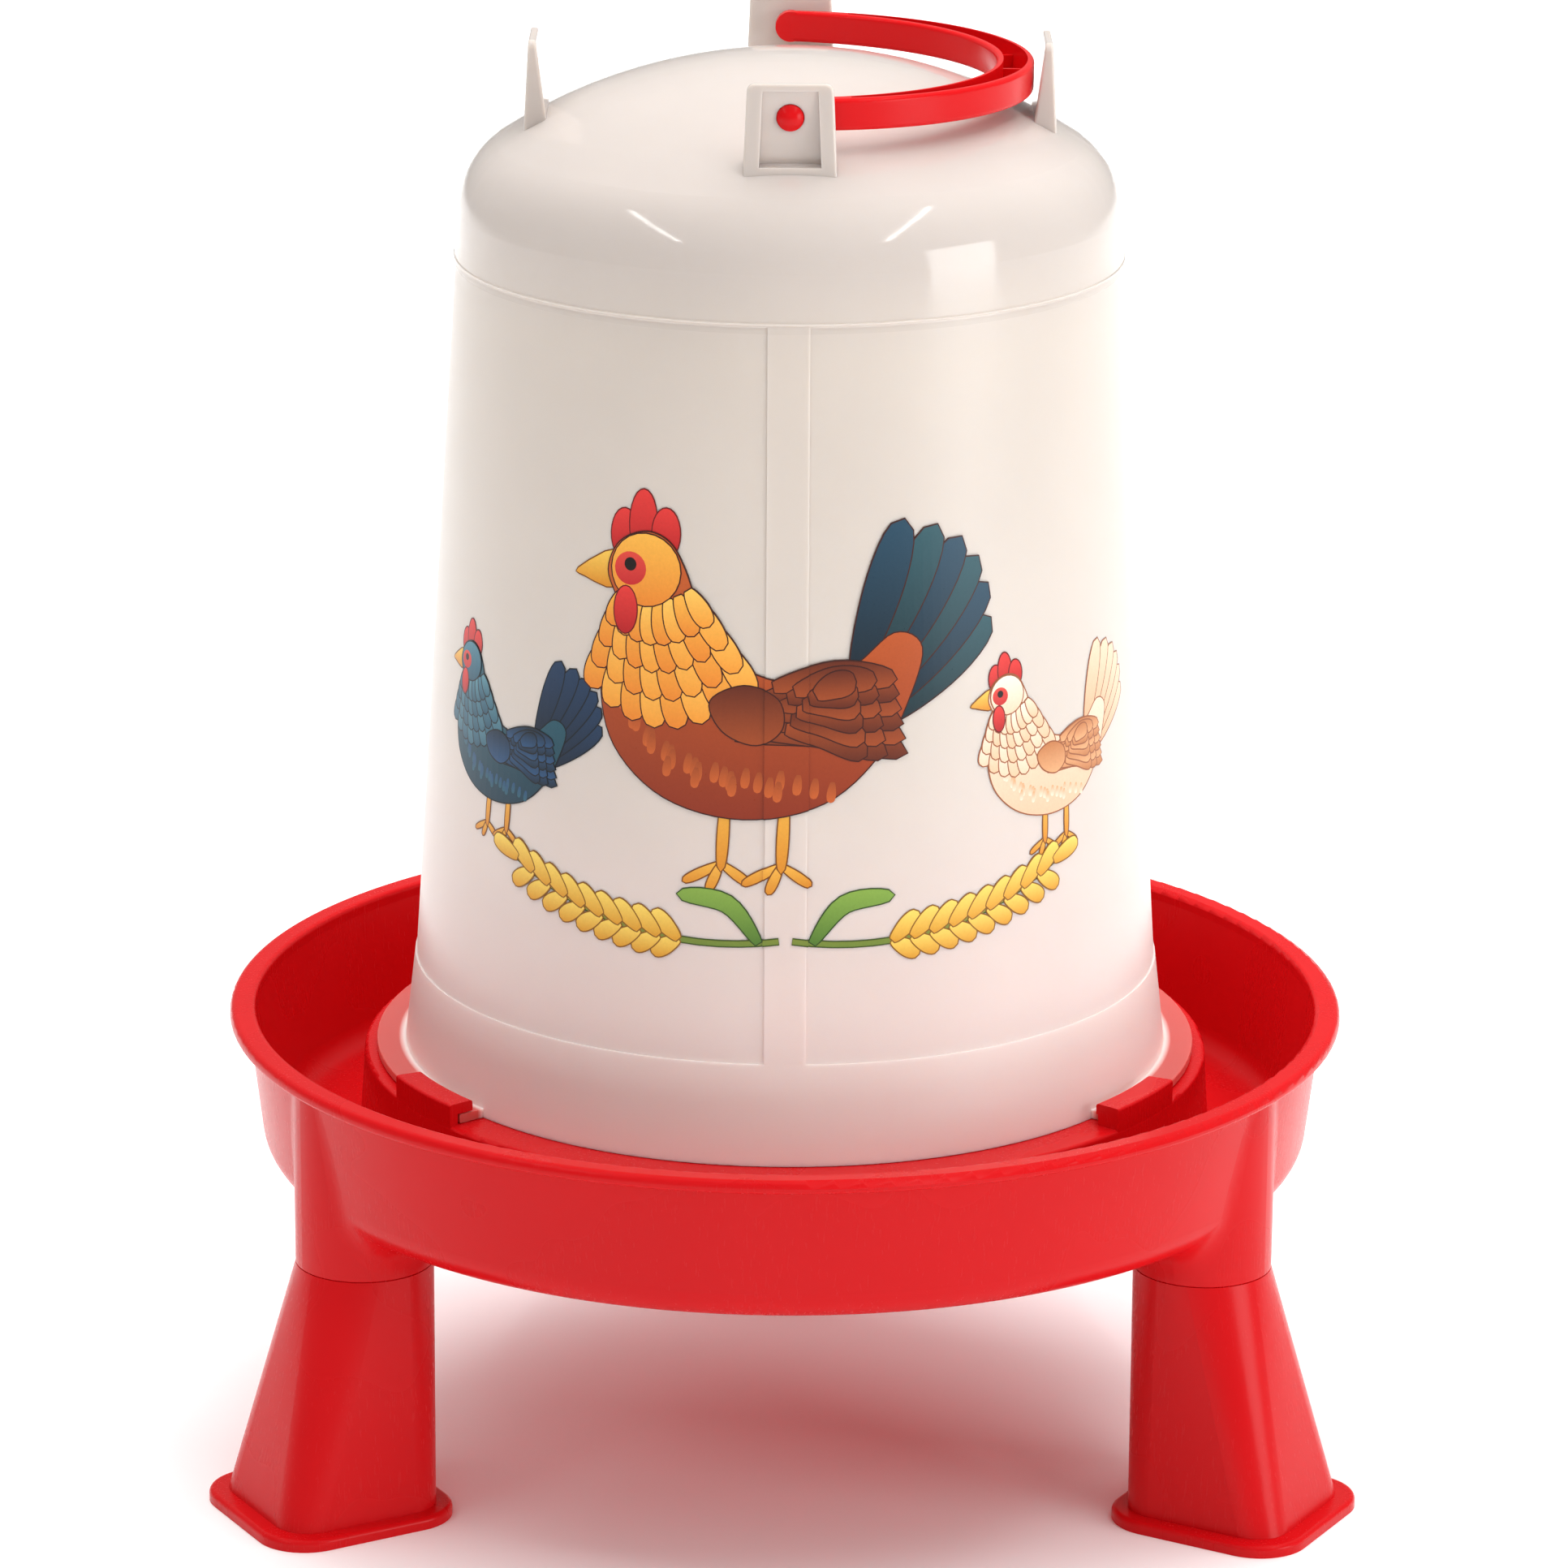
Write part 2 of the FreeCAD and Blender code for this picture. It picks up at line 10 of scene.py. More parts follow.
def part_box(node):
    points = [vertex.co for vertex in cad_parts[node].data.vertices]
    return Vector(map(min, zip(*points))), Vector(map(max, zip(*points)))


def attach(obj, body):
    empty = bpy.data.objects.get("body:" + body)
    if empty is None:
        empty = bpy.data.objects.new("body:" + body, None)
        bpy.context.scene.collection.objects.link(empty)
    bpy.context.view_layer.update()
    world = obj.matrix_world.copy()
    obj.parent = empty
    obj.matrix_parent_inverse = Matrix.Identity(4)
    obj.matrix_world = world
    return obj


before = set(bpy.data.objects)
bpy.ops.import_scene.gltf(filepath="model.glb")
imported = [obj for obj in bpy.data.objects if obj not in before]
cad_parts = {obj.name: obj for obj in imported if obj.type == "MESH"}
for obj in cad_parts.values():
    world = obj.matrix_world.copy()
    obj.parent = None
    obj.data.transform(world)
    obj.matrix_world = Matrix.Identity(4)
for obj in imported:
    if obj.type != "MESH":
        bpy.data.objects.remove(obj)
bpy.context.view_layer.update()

MM = 0.001

# ---- sizes of the tank's wall, in mm, and places that follow from the frame ---------------------
MOUTH_R = 120.2          # outside of the wall at the mouth; the wings reach further out
BAND_H = 31.1            # plain lower band, from the mouth up
BAND_R = 116.6           # outside of the wall at the band's top
SHOULDER_H = 253.5       # from the mouth up to the edge of the dome
SHOULDER_R = 102.6       # outside of the wall there
# The tank's colour ramp over this height holds a painted red glow of the tray at its foot.
TINT_H = 320             # height over which the tank's colour changes, the whole tank
PANEL_DEPTH = 0.45       # the print panels lie this much below the wall
SEAM_HALF_W = 6.6        # half of the upright band between the panels, measured round the wall
PRINT_R = 110.0          # radius at which the print's widths are true

MOUTH_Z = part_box("tank")[0][2] / MM
PANEL_FOOT_Z = MOUTH_Z + BAND_H

# ---- sizes of the finishes' patterns, in mm -----------------------------------------------------
PIGMENT_MOTTLE = 42      # slow drift of the pigment in the red mouldings
SCRATCH = 1.1            # hair scratches, drawn coarser than real ones so that they show
MOULD_PEEL = 2.2         # orange peel off the red mould
MOULD_PEEL_DEPTH = 0.06
MILK_CLOUD = 55          # uneven milkiness of the tank
TANK_PEEL = 7.0
TANK_PEEL_DEPTH = 0.2
INK_GRAIN = 0.9          # uneven transfer of the ink


# ---- colour, nodes and materials --------------------------------------------------------------
def linear(hex_colour):
    """sRGB hex to the opaque linear colour that shaders take."""
    parts = [int(hex_colour[i:i + 2], 16) / 255 for i in (1, 3, 5)]
    return tuple(c / 12.92 if c <= 0.04045 else ((c + 0.055) / 1.055) ** 2.4 for c in parts) + (1.0,)


def add(tree, kind, values=None, links=None, **settings):
    """Adds a node with its settings, socket values and links, and returns it."""
    node = tree.nodes.new("ShaderNode" + kind)
    for name, value in settings.items():
        setattr(node, name, value)
    for socket, value in (values or {}).items():
        node.inputs[socket].default_value = value
    for socket, source in (links or {}).items():
        tree.links.new(source, node.inputs[socket])
    return node


def new_material(name):
    """An empty node material and its tree."""
    material = bpy.data.materials.new(name)
    material.use_nodes = True
    material.node_tree.nodes.clear()
    return material, material.node_tree


def per_pattern(size):
    """Texture scale that makes a pattern this many mm across."""
    return 1 / (size * MM)


def ramp(node, *stops):
    """Sets a colour ramp's stops from (place, hex colour) pairs."""
    elements = node.color_ramp.elements
    while len(elements) < len(stops):
        elements.new(0.5)
    for element, (place, colour) in zip(elements, stops):
        element.position = place
        element.color = linear(colour)


def moulded_red_polypropylene(name, light, deep, gloss):
    """Injection-moulded polypropylene, coloured through: a deep even red with a soft gloss, the faint
    flow mottling of the pigment, a fine orange peel from the mould and hair scratches from use."""
    material, tree = new_material(name)
    place = add(tree, "TexCoord").outputs["Object"]
    mottle = add(tree, "TexNoise", {"Scale": per_pattern(PIGMENT_MOTTLE), "Detail": 1.0, "Roughness": 0.4},
                 {"Vector": place})
    colour = add(tree, "ValToRGB", links={"Fac": mottle.outputs["Fac"]})
    ramp(colour, (0.2, deep), (0.8, light))
    stretched = add(tree, "Mapping", {"Scale": (1.0, 1.0, 0.12), "Rotation": (0.5, 0.3, 0.2)},
                    {"Vector": place})
    scratch = add(tree, "TexNoise", {"Scale": per_pattern(SCRATCH), "Detail": 3.0, "Roughness": 0.7},
                  {"Vector": stretched.outputs["Vector"]})
    scuff = add(tree, "MapRange", {"From Min": 0.58, "From Max": 0.86, "To Min": 0.0, "To Max": 0.05},
                {"Value": scratch.outputs["Fac"]})
    cloud = add(tree, "MapRange", {"To Min": gloss - 0.02, "To Max": gloss + 0.04},
                {"Value": mottle.outputs["Fac"]})
    roughness = add(tree, "Math", links={0: cloud.outputs["Result"], 1: scuff.outputs["Result"]},
                    operation="ADD")
    peel = add(tree, "TexNoise", {"Scale": per_pattern(MOULD_PEEL), "Detail": 2.0}, {"Vector": place})
    bump = add(tree, "Bump", {"Strength": 0.10, "Distance": MOULD_PEEL_DEPTH * MM},
               {"Height": peel.outputs["Fac"]})
    shader = add(tree, "BsdfPrincipled",
                 {"IOR": 1.49, "Specular IOR Level": 0.16, "Subsurface Weight": 0.10,
                  "Subsurface Scale": 1.5 * MM, "Subsurface Radius": (1.0, 0.10, 0.08)},
                 {"Base Color": colour.outputs["Color"], "Roughness": roughness.outputs["Value"],
                  "Normal": bump.outputs["Normal"]})
    add(tree, "OutputMaterial", links={"Surface": shader.outputs["BSDF"]})
    return material


def natural_polypropylene(name):
    """Moulded natural polypropylene: milky and translucent, satin on the walls and glossy on the dome.
    The foot is painted paler and pinker and the thin wings painted red: a painted glow of the red light that
    the tray sends through the milky plastic."""
    material, tree = new_material(name)
    place = add(tree, "TexCoord").outputs["Object"]
    height = add(tree, "SeparateXYZ", links={"Vector": place}).outputs["Z"]
    # Colour by height: the lowest stops paint a pale pink glow of the tray's red light, and the upper stops
    # grow greyer towards the dome.
    tint = add(tree, "MapRange", {"From Min": MOUTH_Z * MM, "From Max": (MOUTH_Z + TINT_H) * MM},
               {"Value": height})
    colour = add(tree, "ValToRGB", links={"Fac": tint.outputs["Result"]})
    ramp(colour, (0.0, "#FBE4DF"), (0.10, "#FAE8E2"), (0.20, "#E9DBD5"), (0.40, "#DCD3CB"),
         (0.76, "#DAD0C7"),
         (0.86, "#D3CAC4"))
    flat = add(tree, "VectorMath", {1: (1.0, 1.0, 0.0)}, {0: place}, operation="MULTIPLY").outputs["Vector"]
    radius = add(tree, "VectorMath", links={0: flat}, operation="LENGTH").outputs["Value"]
    # Painted red glow: the thin wings beyond the mouth are painted with the tray's red light that shines
    # through them.
    wing = add(tree, "MapRange", {"From Min": (MOUTH_R + 0.3) * MM, "From Max": (MOUTH_R + 2) * MM},
               {"Value": radius})
    painted_red_glow = add(tree, "MixRGB", {"Color2": linear("#D2635E")},
                   {"Fac": wing.outputs["Result"], "Color1": colour.outputs["Color"]})
    mottle = add(tree, "TexNoise", {"Scale": per_pattern(MILK_CLOUD), "Detail": 4.0}, {"Vector": place})
    clouded = add(tree, "MapRange", {"To Min": 0.94, "To Max": 1.04}, {"Value": mottle.outputs["Fac"]})
    varied = add(tree, "HueSaturation", links={"Color": painted_red_glow.outputs["Color"],
                                               "Value": clouded.outputs["Result"]})
    satin = add(tree, "MapRange", {"From Min": (MOUTH_Z + SHOULDER_H - 6) * MM,
                                   "From Max": (MOUTH_Z + SHOULDER_H + 14) * MM,
                                   "To Min": 0.32, "To Max": 0.09}, {"Value": height})
    peel = add(tree, "TexNoise", {"Scale": per_pattern(TANK_PEEL), "Detail": 2.0}, {"Vector": place})
    bump = add(tree, "Bump", {"Strength": 0.05, "Distance": TANK_PEEL_DEPTH * MM},
               {"Height": peel.outputs["Fac"]})
    shader = add(tree, "BsdfPrincipled",
                 {"IOR": 1.49, "Subsurface Weight": 1.0, "Subsurface Scale": 2.5 * MM,
                  "Subsurface Radius": (1.0, 0.92, 0.82)},
                 {"Base Color": varied.outputs["Color"], "Roughness": satin.outputs["Result"],
                  "Normal": bump.outputs["Normal"]})
    add(tree, "OutputMaterial", links={"Surface": shader.outputs["BSDF"]})
    return material


def transfer_print(name):
    """Ink of a heat-transfer print: full colour under a thin clear film, slightly uneven in strength."""
    material, tree = new_material(name)
    place = add(tree, "TexCoord").outputs["Object"]
    ink = add(tree, "VertexColor", layer_name="ink").outputs["Color"]
    grain = add(tree, "TexNoise", {"Scale": per_pattern(INK_GRAIN), "Detail": 3.0, "Roughness": 0.7},
                {"Vector": place})
    strength = add(tree, "MapRange", {"To Min": 0.90, "To Max": 1.10}, {"Value": grain.outputs["Fac"]})
    colour = add(tree, "HueSaturation", links={"Color": ink, "Value": strength.outputs["Result"]})
    gloss = add(tree, "MapRange", {"To Min": 0.24, "To Max": 0.36}, {"Value": grain.outputs["Fac"]})
    shader = add(tree, "BsdfPrincipled", {"IOR": 1.5, "Specular IOR Level": 0.3},
                 {"Base Color": colour.outputs["Color"], "Roughness": gloss.outputs["Result"]})
    add(tree, "OutputMaterial", links={"Surface": shader.outputs["BSDF"]})
    return material


base_red = moulded_red_polypropylene("moulded_red_polypropylene", "#CF1016", "#CB0E14", 0.26)
handle_red = moulded_red_polypropylene("moulded_red_polypropylene_handle", "#D81317", "#D41116", 0.22)
milky = natural_polypropylene("natural_polypropylene")
ink_film = transfer_print("transfer_print_ink")
for node_name, cad_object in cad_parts.items():
    cad_object.data.materials.clear()
    cad_object.data.materials.append({"tank": milky, "handle": handle_red}.get(node_name, base_red))


# ---- drawing the print --------------------------------------------------------------------------
# A plain farmyard motif: one large hen between two small ones, in side view, over two ears of wheat.
# Flat shapes in mm, u round the wall from the front, v up from the panel's foot.
DARK_LINE = "#3A1A10"
LINE_W = 0.4             # dark line round a shape


def mix(a, b, t):
    """The value t of the way from a to b."""
    return a + (b - a) * t


def mix_point(a, b, t):
    return (mix(a[0], b[0], t), mix(a[1], b[1], t))


def smooth(points, closed, steps=6):
    """Smooth line through a few points."""
    count = len(points)
    line = []
    for i in range(count if closed else count - 1):
        near = [(i + k) % count if closed else min(max(i + k, 0), count - 1) for k in (-1, 0, 1, 2)]
        a, b, c, d = (points[k] for k in near)
        for step in range(steps):
            t = step / steps
            line.append(tuple(0.5 * (2 * q + (r - p) * t + (2 * p - 5 * q + 4 * r - s) * t * t
                                     + (3 * q - p - 3 * r + s) * t ** 3) for p, q, r, s in zip(a, b, c, d)))
    return line if closed else line + [points[-1]]


def oval(centre, half_u, half_v, points=24):
    angles = [2 * math.pi * i / points for i in range(points)]
    ring = [(half_u * math.cos(a), half_v * math.sin(a)) for a in angles]
    return [(centre[0] + x, centre[1] + y) for x, y in ring]


def feather(base, tip, width, bend=0.0):
    """Leaf shape round a bent quill: narrow at its base, widest past the middle, round at the tip."""
    middle = mix_point(base, tip, 0.5)
    middle = (middle[0] - (tip[1] - base[1]) * bend, middle[1] + (tip[0] - base[0]) * bend)
    spine = smooth([base, middle, tip], False)
    widest = 0.6
    left, right = [], []
    for i, (u, v) in enumerate(spine):
        t = i / (len(spine) - 1)
        before, after = spine[max(i - 1, 0)], spine[min(i + 1, len(spine) - 1)]
        du, dv = after[0] - before[0], after[1] - before[1]
        size = math.hypot(du, dv)
        half = width / 2 * (mix(0.4, 1.0, math.sin(math.pi / 2 * t / widest)) if t < widest
                            else math.sqrt(max(0.0, 1 - ((t - widest) / (1 - widest)) ** 2)))
        left.append((u - dv / size * half, v + du / size * half))
        right.append((u + dv / size * half, v - du / size * half))
    return left + right[-2::-1]


def ribbon(points, width):
    """Even band along a line of points."""
    edges = []
    for side in (1, -1):
        for i, (u, v) in enumerate(points):
            before, after = points[max(i - 1, 0)], points[min(i + 1, len(points) - 1)]
            du, dv = after[0] - before[0], after[1] - before[1]
            reach = side * width / 2 / math.hypot(du, dv)
            edges.append((u - dv * reach, v + du * reach))
    half = len(points)
    return edges[:half] + edges[half:][::-1]


def grown(outline, by):
    """The outline moved outward."""
    area = sum(a[0] * b[1] - b[0] * a[1] for a, b in zip(outline, outline[1:] + outline[:1]))
    side = math.copysign(by, area)
    out = []
    for i, (u, v) in enumerate(outline):
        before, after = outline[i - 1], outline[(i + 1) % len(outline)]
        du, dv = after[0] - before[0], after[1] - before[1]
        size = math.hypot(du, dv) or 1.0
        out.append((u + dv / size * side, v - du / size * side))
    return out


class Figure:
    """Shapes of one figure, drawn round its own origin and then placed and scaled on the wall."""

    def __init__(self, u, v, scale=1.0):
        self.place, self.scale, self.shapes = (u, v), scale, []

    def ink(self, outline, low, high=None, line=DARK_LINE):
        """An outline filled with one colour, or two that blend from foot to head, over a dark line."""
        placed = [(self.place[0] + u * self.scale, self.place[1] + v * self.scale) for u, v in outline]
        if line:
            self.shapes.append((grown(placed, LINE_W), line, line))
        self.shapes.append((placed, low, high or low))

    def fan(self, bases, tips, width, colours, line, bend=0.0):
        """Feathers between two rows of points, the last one on top."""
        for i, (base, tip) in enumerate(zip(bases, tips)):
            self.ink(feather(base, tip, width, bend), *colours[i % len(colours)], line)


def points_on(a, b, c, count):
    """Points evenly along the bow from a to c that b pulls on."""
    steps = [i / (count - 1) for i in range(count)]
    return [mix_point(mix_point(a, b, t), mix_point(b, c, t), t) for t in steps]


HEN_OUTLINE = [(-28, 83), (-35, 80), (-38, 73), (-35, 65), (-36, 56), (-39, 45), (-35, 31), (-22, 20),
               (-3, 16), (16, 20), (29, 31), (36, 43), (40, 56), (33, 60), (22, 52), (8, 49), (-5, 53),
               (-13, 63), (-18, 75), (-22, 81)]
HORN = ("#D98A22", "#F2B84A", "#7A4410")          # legs: foot, head and line colours
BEAK = ("#D98A22", "#FBCF5A", "#7A4410")
COMB = ("#B3161C", "#E33A36", "#6A0E10")
GRAIN = ("#DB9A26", "#FBDD68", "#8A5A14")


def hen(u, v, scale, body, wing, collar, tail, line):
    """A hen in side view, facing left, its feet at the given place."""
    bird = Figure(u, v, scale)
    for knee in (-7, 7):
        for toe in ((-9, 0), (-3, -2), (7, 0)):
            bird.ink(feather((knee - 1, 5), (knee - 1 + toe[0], toe[1]), 2.2), *HORN)
        bird.ink(feather((knee, 24), (knee - 1, 3), 2.6), *HORN)
    bird.fan(points_on((31, 40), (30, 47), (24, 52), 6), points_on((59, 61), (60, 84), (36, 87), 6), 9.5,
             tail, line)
    for at, height in (((-34, 82), 6), ((-29, 85), 8), ((-23, 83), 6)):
        bird.ink(oval(at, 3.6, height), *COMB)
    bird.ink(smooth([(-36, 78), (-47, 72), (-45, 70.5), (-36, 69)], True, 3), *BEAK)
    bird.ink(smooth(HEN_OUTLINE, True), *body, line)
    for row in range(4):
        flecks = points_on((-33 + 4 * row, 42 - 5 * row), (-24 + 5 * row, 25 - row), (6 + 4 * row, 25 - row),
                           8 - row)
        for a, b in flecks:
            bird.ink(feather((a, b + 3), (a - 0.6, b - 2), 2.2), body[1], wing[1], None)
    roots, tips = points_on((-34, 68), (-26, 64), (-17, 70), 8), points_on((-42, 44), (-22, 28), (-1, 46), 8)
    for row in range(4):
        reach = 1.0 - 0.22 * row
        bird.fan([mix_point(a, b, max(0.0, reach - 0.5)) for a, b in zip(roots, tips)],
                 [mix_point(a, b, reach) for a, b in zip(roots, tips)], 6.4 - 0.5 * row, collar, line)
    bird.ink(oval((-28, 74), 9.0, 8.6), *collar[0], line)
    for row in range(3):
        bases = points_on((-5 + 6 * row, 36 + row), (0 + 5 * row, 42 + row), (4 + 5 * row, 48 - row), 6)
        ends = [(36 - 5 * row - 0.5 * i, 31 + 3.6 * i) for i in range(6)]
        bird.fan(bases, ends, 6.4, [wing, wing[::-1]], line, 0.08)
    bird.ink(smooth([(-11, 44), (-8, 37), (0, 34), (6, 38), (5, 45), (-3, 48)], True), *wing[::-1], line)
    bird.ink(oval((-33, 64), 3.0, 5.6), *COMB)
    bird.ink(oval((-32, 74), 4.2, 4.0), "#C4262A", "#E0483C", None)
    bird.ink(oval((-32, 75), 1.6, 1.6), "#140A08", None, None)
    return bird


def wheat_ear(u, v, lean):
    """A stalk that bows outward, with its grains in pairs and a leaf."""
    ear = Figure(u, v)
    stalk = points_on((0, 0), (lean * 40, -6), (lean * 86, 15), 15)
    ear.ink(ribbon(stalk, 1.5), "#6E8A34", "#B89A3A", "#3E5218")
    ear.ink(feather(stalk[1], (lean * 30, 13), 5.4, lean * 0.2), "#4E7A2A", "#86AC48", "#2E4A16")
    for i in range(5, 14):
        for side in (-1, 1):
            tip = (stalk[i][0] + lean * 8, stalk[i][1] + side * 6.5 + 1.5)
            ear.ink(feather(stalk[i], tip, 5.0), *GRAIN)
    ear.ink(feather(stalk[14], (stalk[14][0] + lean * 11, stalk[14][1] + 4), 5.0), *GRAIN)
    return ear


def motif():
    """The five figures. Each hen's colours are its body, wing, collar, tail and line."""
    rust = hen(-9, 55, 1.26, ("#8A2E14", "#C8602A"), ("#5E2412", "#9E4820"),
               [("#E8862C", "#F8B84A"), ("#F09A36", "#FBC95E")],
               [("#12262E", "#2C5660"), ("#0E1E2A", "#24485E")], "#3C140C")
    dark = hen(-98, 57, 0.68, ("#15384A", "#2C6070"), ("#10283C", "#28507A"),
               [("#28546A", "#4C8498"), ("#346478", "#5E96A6")],
               [("#0E1E30", "#223C5C")], "#08141E")
    cream = hen(90, 57, 0.68, ("#F0C4A2", "#FBE6D2"), ("#C07A48", "#E2A878"),
                [("#F4D0B0", "#FDEEDE"), ("#EFC29C", "#FAE2CA")],
                [("#E6B088", "#F6D6B8")], "#9A5A38")
    return {"print_hen_left": dark, "print_hen_right": cream, "print_hen_middle": rust,
            "print_wheat_left": wheat_ear(-2, 38, -1), "print_wheat_right": wheat_ear(2, 38, 1)}


# ---- the print on the wall ----------------------------------------------------------------------
CELL = 3.0               # the wall is followed in flat strips this wide
INK_LIFT = 0.05          # first layer above the panel
INK_LAYER = 0.005        # each layer above the one before
INK_SINK = 0.04          # how far the film runs into the wall
INSIDE_ONLY = 1          # the cutter keeps only the triangles inside an outline
SAME_POINT = 1e-6        # points nearer than this are one
ON_LINE = 1e-5           # points nearer than this to a strip's edge lie on it
EDGE_STEP = 0.02         # width of the step at the side of the upright band
STRIPS = 50              # strips to each side of the front


def grid_lines():
    """Places of the strips' edges, each with how far the wall stands above the panel there."""
    plain = [CELL * k for k in range(-STRIPS, STRIPS + 1) if abs(CELL * k) > SEAM_HALF_W + EDGE_STEP]
    lines = [(u, 0.0) for u in plain]
    lines += [(CELL * k, PANEL_DEPTH) for k in range(-2, 3)]
    for side in (-1, 1):
        lines += [(side * (SEAM_HALF_W - EDGE_STEP), PANEL_DEPTH), (side * (SEAM_HALF_W + EDGE_STEP), 0.0)]
    return sorted(lines)


LINES = grid_lines()


def on_wall(u, v, lift):
    """Point on the faceted wall, in metres."""
    after = next(i for i, (edge, _) in enumerate(LINES) if edge > u)
    (u0, rise0), (u1, rise1) = LINES[after - 1], LINES[after]
    radius = mix(BAND_R, SHOULDER_R, v / (SHOULDER_H - BAND_H)) - PANEL_DEPTH + lift
    ends = []
    for edge, rise in ((u0, rise0), (u1, rise1)):
        angle, reach = edge / PRINT_R, radius + rise
        ends.append(Vector((reach * math.sin(angle), -reach * math.cos(angle))))
    flat = ends[0].lerp(ends[1], (u - u0) / (u1 - u0))
    return (flat.x * MM, flat.y * MM, (PANEL_FOOT_Z + v) * MM)


def flat_pieces(outline):
    """The outline's area, cut along the strips' edges: points and faces."""
    corners, _, triangles, *_ = delaunay_2d_cdt([Vector(point) for point in outline], [],
                                                [list(range(len(outline)))], INSIDE_ONLY, SAME_POINT)
    sheet = bmesh.new()
    verts = [sheet.verts.new((u, v, 0)) for u, v in corners]
    for triangle in triangles:
        sheet.faces.new([verts[i] for i in triangle])
    low, high = min(u for u, _ in outline), max(u for u, _ in outline)
    for edge, _ in LINES:
        if low < edge < high:
            everything = sheet.verts[:] + sheet.edges[:] + sheet.faces[:]
            bmesh.ops.bisect_plane(sheet, geom=everything, dist=ON_LINE, plane_co=(edge, 0, 0),
                                   plane_no=(1, 0, 0))
    bmesh.ops.recalc_face_normals(sheet, faces=sheet.faces[:])
    sheet.verts.index_update()
    points = [(vert.co.x, vert.co.y) for vert in sheet.verts]
    faces = [[vert.index for vert in face.verts] for face in sheet.faces]
    rims = [[vert.index for vert in loop_edge.verts] for loop_edge in sheet.edges if loop_edge.is_boundary]
    up = sum(face.normal.z * face.calc_area() for face in sheet.faces) > 0
    sheet.free()
    return points, faces if up else [face[::-1] for face in faces], rims


def layer_of(box, placed):
    """One layer above whatever the shape covers."""
    covered = [layer for other, layer in placed
               if box[0] < other[2] and other[0] < box[2] and box[1] < other[3] and other[1] < box[3]]
    return 1 + max(covered, default=0)


def print_figure(name, shapes, placed):
    """One figure of the print: closed films of ink, each a little above those it covers."""
    verts, faces, colours = [], [], []
    for outline, low, high in shapes:
        us, vs = [u for u, _ in outline], [v for _, v in outline]
        box = (min(us), min(vs), max(us), max(vs))
        layer = layer_of(box, placed)
        placed.append((box, layer))
        points, tops, rims = flat_pieces(outline)
        first, count = len(verts), len(points)
        foot, head = linear(low), linear(high)
        for lift in (INK_LIFT + INK_LAYER * layer, -INK_SINK):
            for u, v in points:
                verts.append(on_wall(u, v, lift))
                t = (v - box[1]) / max(box[3] - box[1], 1e-6)
                colours.append([mix(foot[k], head[k], t) for k in range(4)])
        directed = {(face[i - 1], face[i]) for face in tops for i in range(len(face))}
        faces += [[first + i for i in face] for face in tops]
        faces += [[first + count + i for i in reversed(face)] for face in tops]
        for a, b in rims:
            a, b = (a, b) if (a, b) in directed else (b, a)
            faces.append([first + b, first + a, first + count + a, first + count + b])
    mesh = bpy.data.meshes.new(name)
    mesh.from_pydata(verts, [], faces)
    layer_data = mesh.color_attributes.new("ink", "FLOAT_COLOR", "POINT")
    layer_data.data.foreach_set("color", [c for colour in colours for c in colour])
    mesh.materials.append(ink_film)
    figure = bpy.data.objects.new(name, mesh)
    bpy.context.scene.collection.objects.link(figure)
    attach(figure, "tank")


placed_shapes = []
for figure_name, figure in motif().items():
    print_figure(figure_name, figure.shapes, placed_shapes)


# ---- camera, light and floor ------------------------------------------------------------------
CAMERA_PLACE = (-0.0007, -2.0402, 0.8202)         # metres
CAMERA_DIP = 16.637                               # degrees below level
CAMERA_ROLL = 0.34
LENS, SENSOR = 155.96, 36.0                       # mm

camera_data = bpy.data.cameras.new("camera")
camera_data.lens = LENS
camera_data.sensor_width = SENSOR
camera = bpy.data.objects.new("camera", camera_data)
bpy.context.scene.collection.objects.link(camera)
camera.matrix_world = (Matrix.Translation(CAMERA_PLACE)
                       @ Matrix.Rotation(math.radians(90 - CAMERA_DIP), 4, "X")
                       @ Matrix.Rotation(math.radians(CAMERA_ROLL), 4, "Z"))
bpy.context.scene.camera = camera


def area_light(name, place, aim, size, power, mirrored=True):
    """A soft rectangular lamp at a place, facing a point: metres and watts. One that isn't mirrored
    lights the object but leaves no reflection in it."""
    data = bpy.data.lights.new(name, "AREA")
    data.shape = "RECTANGLE"
    data.size, data.size_y = size
    data.energy = power
    lamp = bpy.data.objects.new(name, data)
    bpy.context.scene.collection.objects.link(lamp)
    lamp.location = place
    lamp.rotation_mode = "QUATERNION"
    lamp.rotation_quaternion = (Vector(aim) - Vector(place)).to_track_quat("-Z", "Y")
    lamp.visible_glossy = mirrored
    return lamp


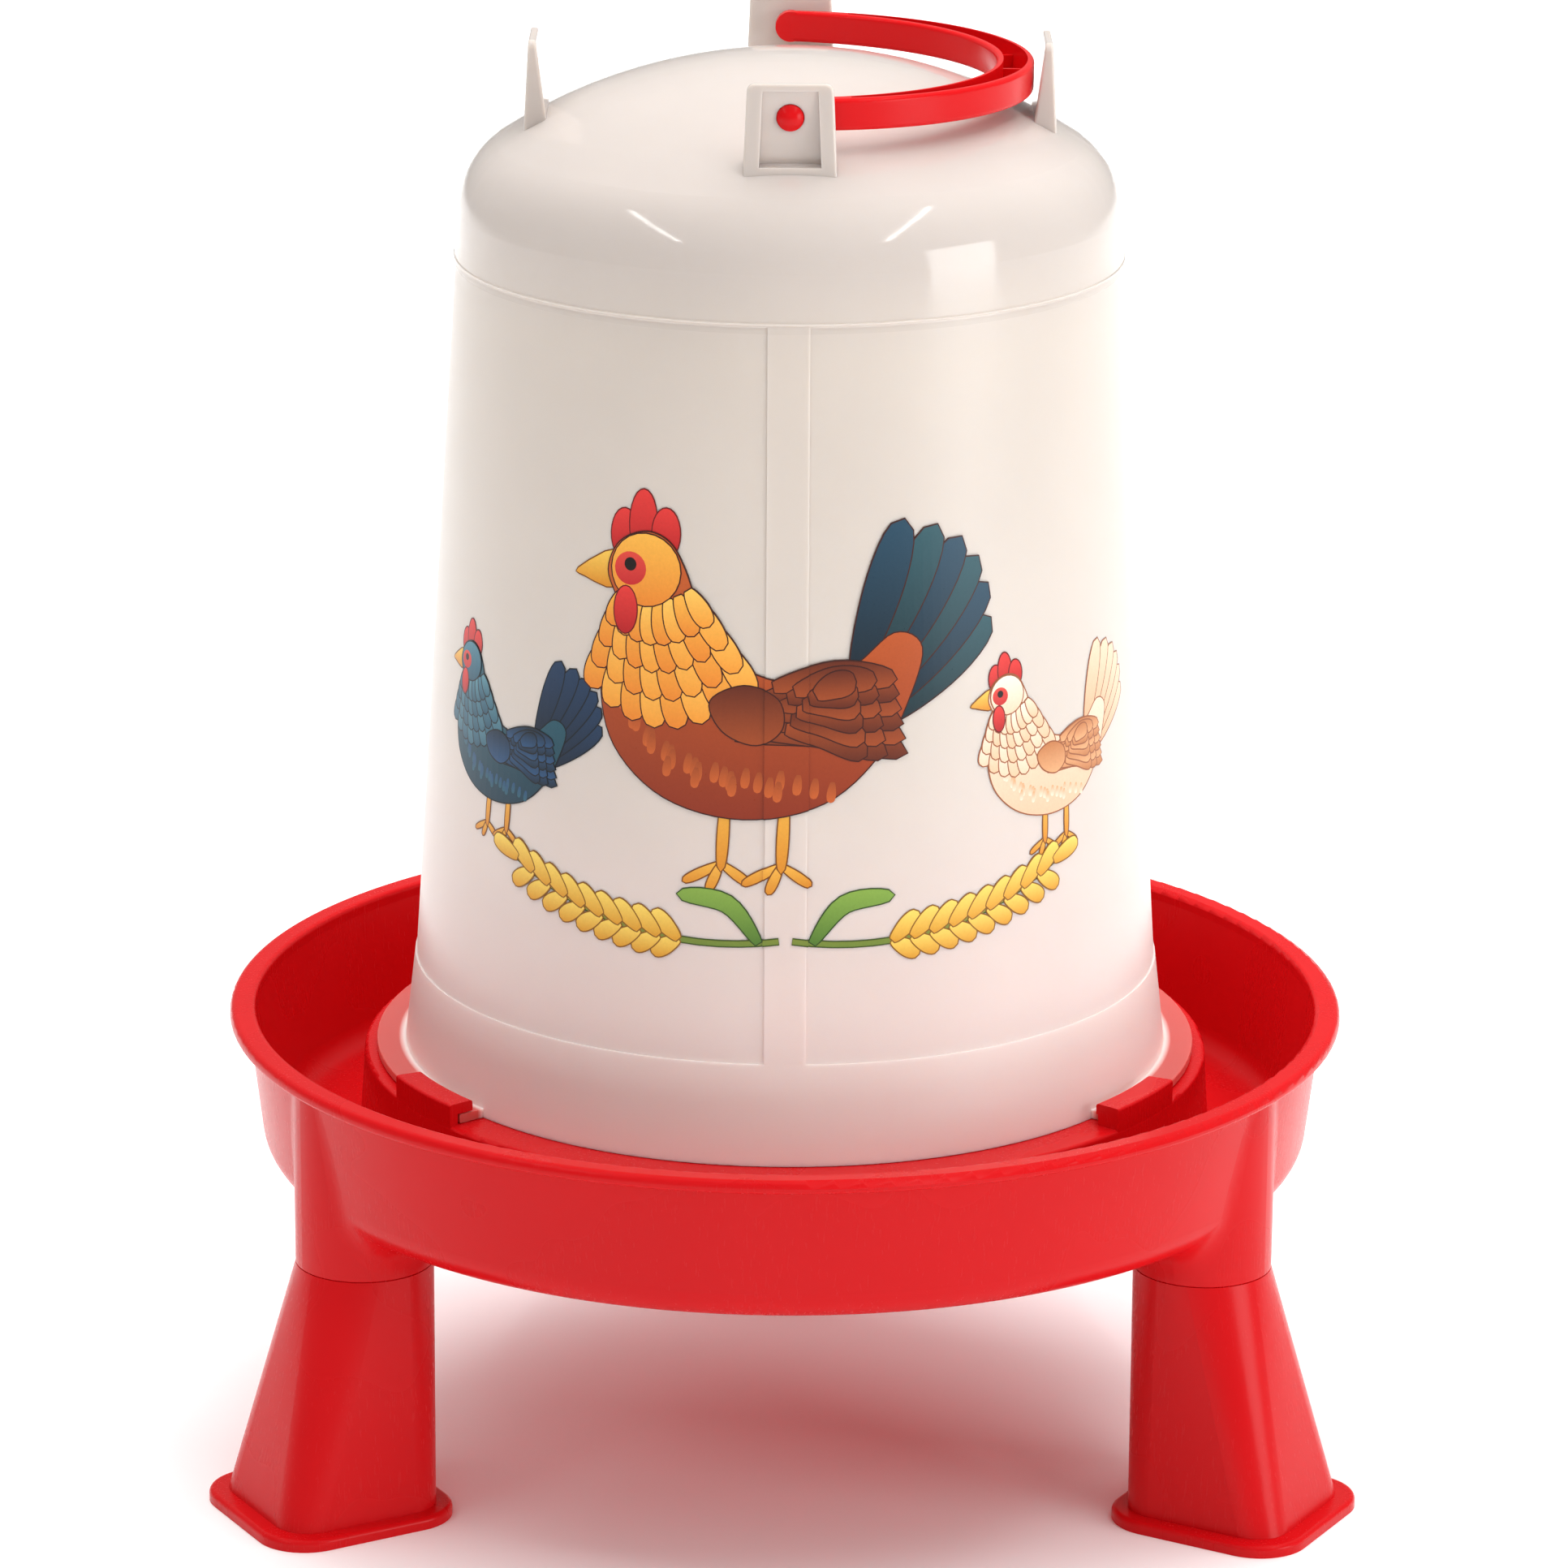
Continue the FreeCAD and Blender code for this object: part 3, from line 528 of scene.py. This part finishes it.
area_light("overhead", (0.2, 0.5, 3.2), (0, 0, 0), (4.0, 4.0), 150, mirrored=False)
area_light("backdrop", (0, 3.2, 2.6), (0, 3.0, 0), (6.0, 2.0), 105, mirrored=False)
area_light("key_right", (2.1, -1.2, 0.6), (0, 0, 0.25), (1.1, 1.05), 19)
area_light("front_fill", (-0.5, -2.8, 1.4), (0, 0, 0.25), (1.8, 1.2), 7.0, mirrored=False)

# Two ceiling tubes, turned about their line of sight so that they lie along the ceiling.
DOME_MIDDLE = (0, 0, 0.4)
CEILING = 2.6
TUBE_SIZE, TUBE_POWER = (0.07, 2.3), 9
for side, start, end in (("left", (-1.66, -0.14), (-2.35, -2.36)), ("right", (1.18, 0.16), (1.83, -2.14))):
    middle = Vector((*mix_point(start, end, 0.5), CEILING))
    tube = area_light("tube_" + side, middle, DOME_MIDDLE, TUBE_SIZE, TUBE_POWER)
    along = Vector((end[0] - start[0], end[1] - start[1], 0)).normalized()
    back = (middle - Vector(DOME_MIDDLE)).normalized()
    across = along.cross(back).normalized()
    turned = Matrix((across, back.cross(across), back)).transposed()
    tube.rotation_quaternion = turned.to_quaternion()

world = bpy.data.worlds.new("studio")
bpy.context.scene.world = world
world.use_nodes = True
world.node_tree.nodes["Background"].inputs["Color"].default_value = linear("#F6F2EE")
world.node_tree.nodes["Background"].inputs["Strength"].default_value = 0.34
bpy.context.scene.view_settings.view_transform = "Standard"

FLOOR_REACH = 8.0
floor_corners = [(x * FLOOR_REACH, y * FLOOR_REACH, 0.0) for x, y in ((-1, -1), (1, -1), (1, 1), (-1, 1))]
floor_mesh = bpy.data.meshes.new("floor")
floor_mesh.from_pydata(floor_corners, [], [(0, 1, 2, 3)])
floor = bpy.data.objects.new("floor", floor_mesh)
bpy.context.scene.collection.objects.link(floor)
paper, paper_tree = new_material("white_paper_floor")
paper_shader = add(paper_tree, "BsdfPrincipled", {"Base Color": linear("#FCFCFC"), "Roughness": 0.9,
                                                  "Specular IOR Level": 0.1})
add(paper_tree, "OutputMaterial", links={"Surface": paper_shader.outputs["BSDF"]})
floor_mesh.materials.append(paper)
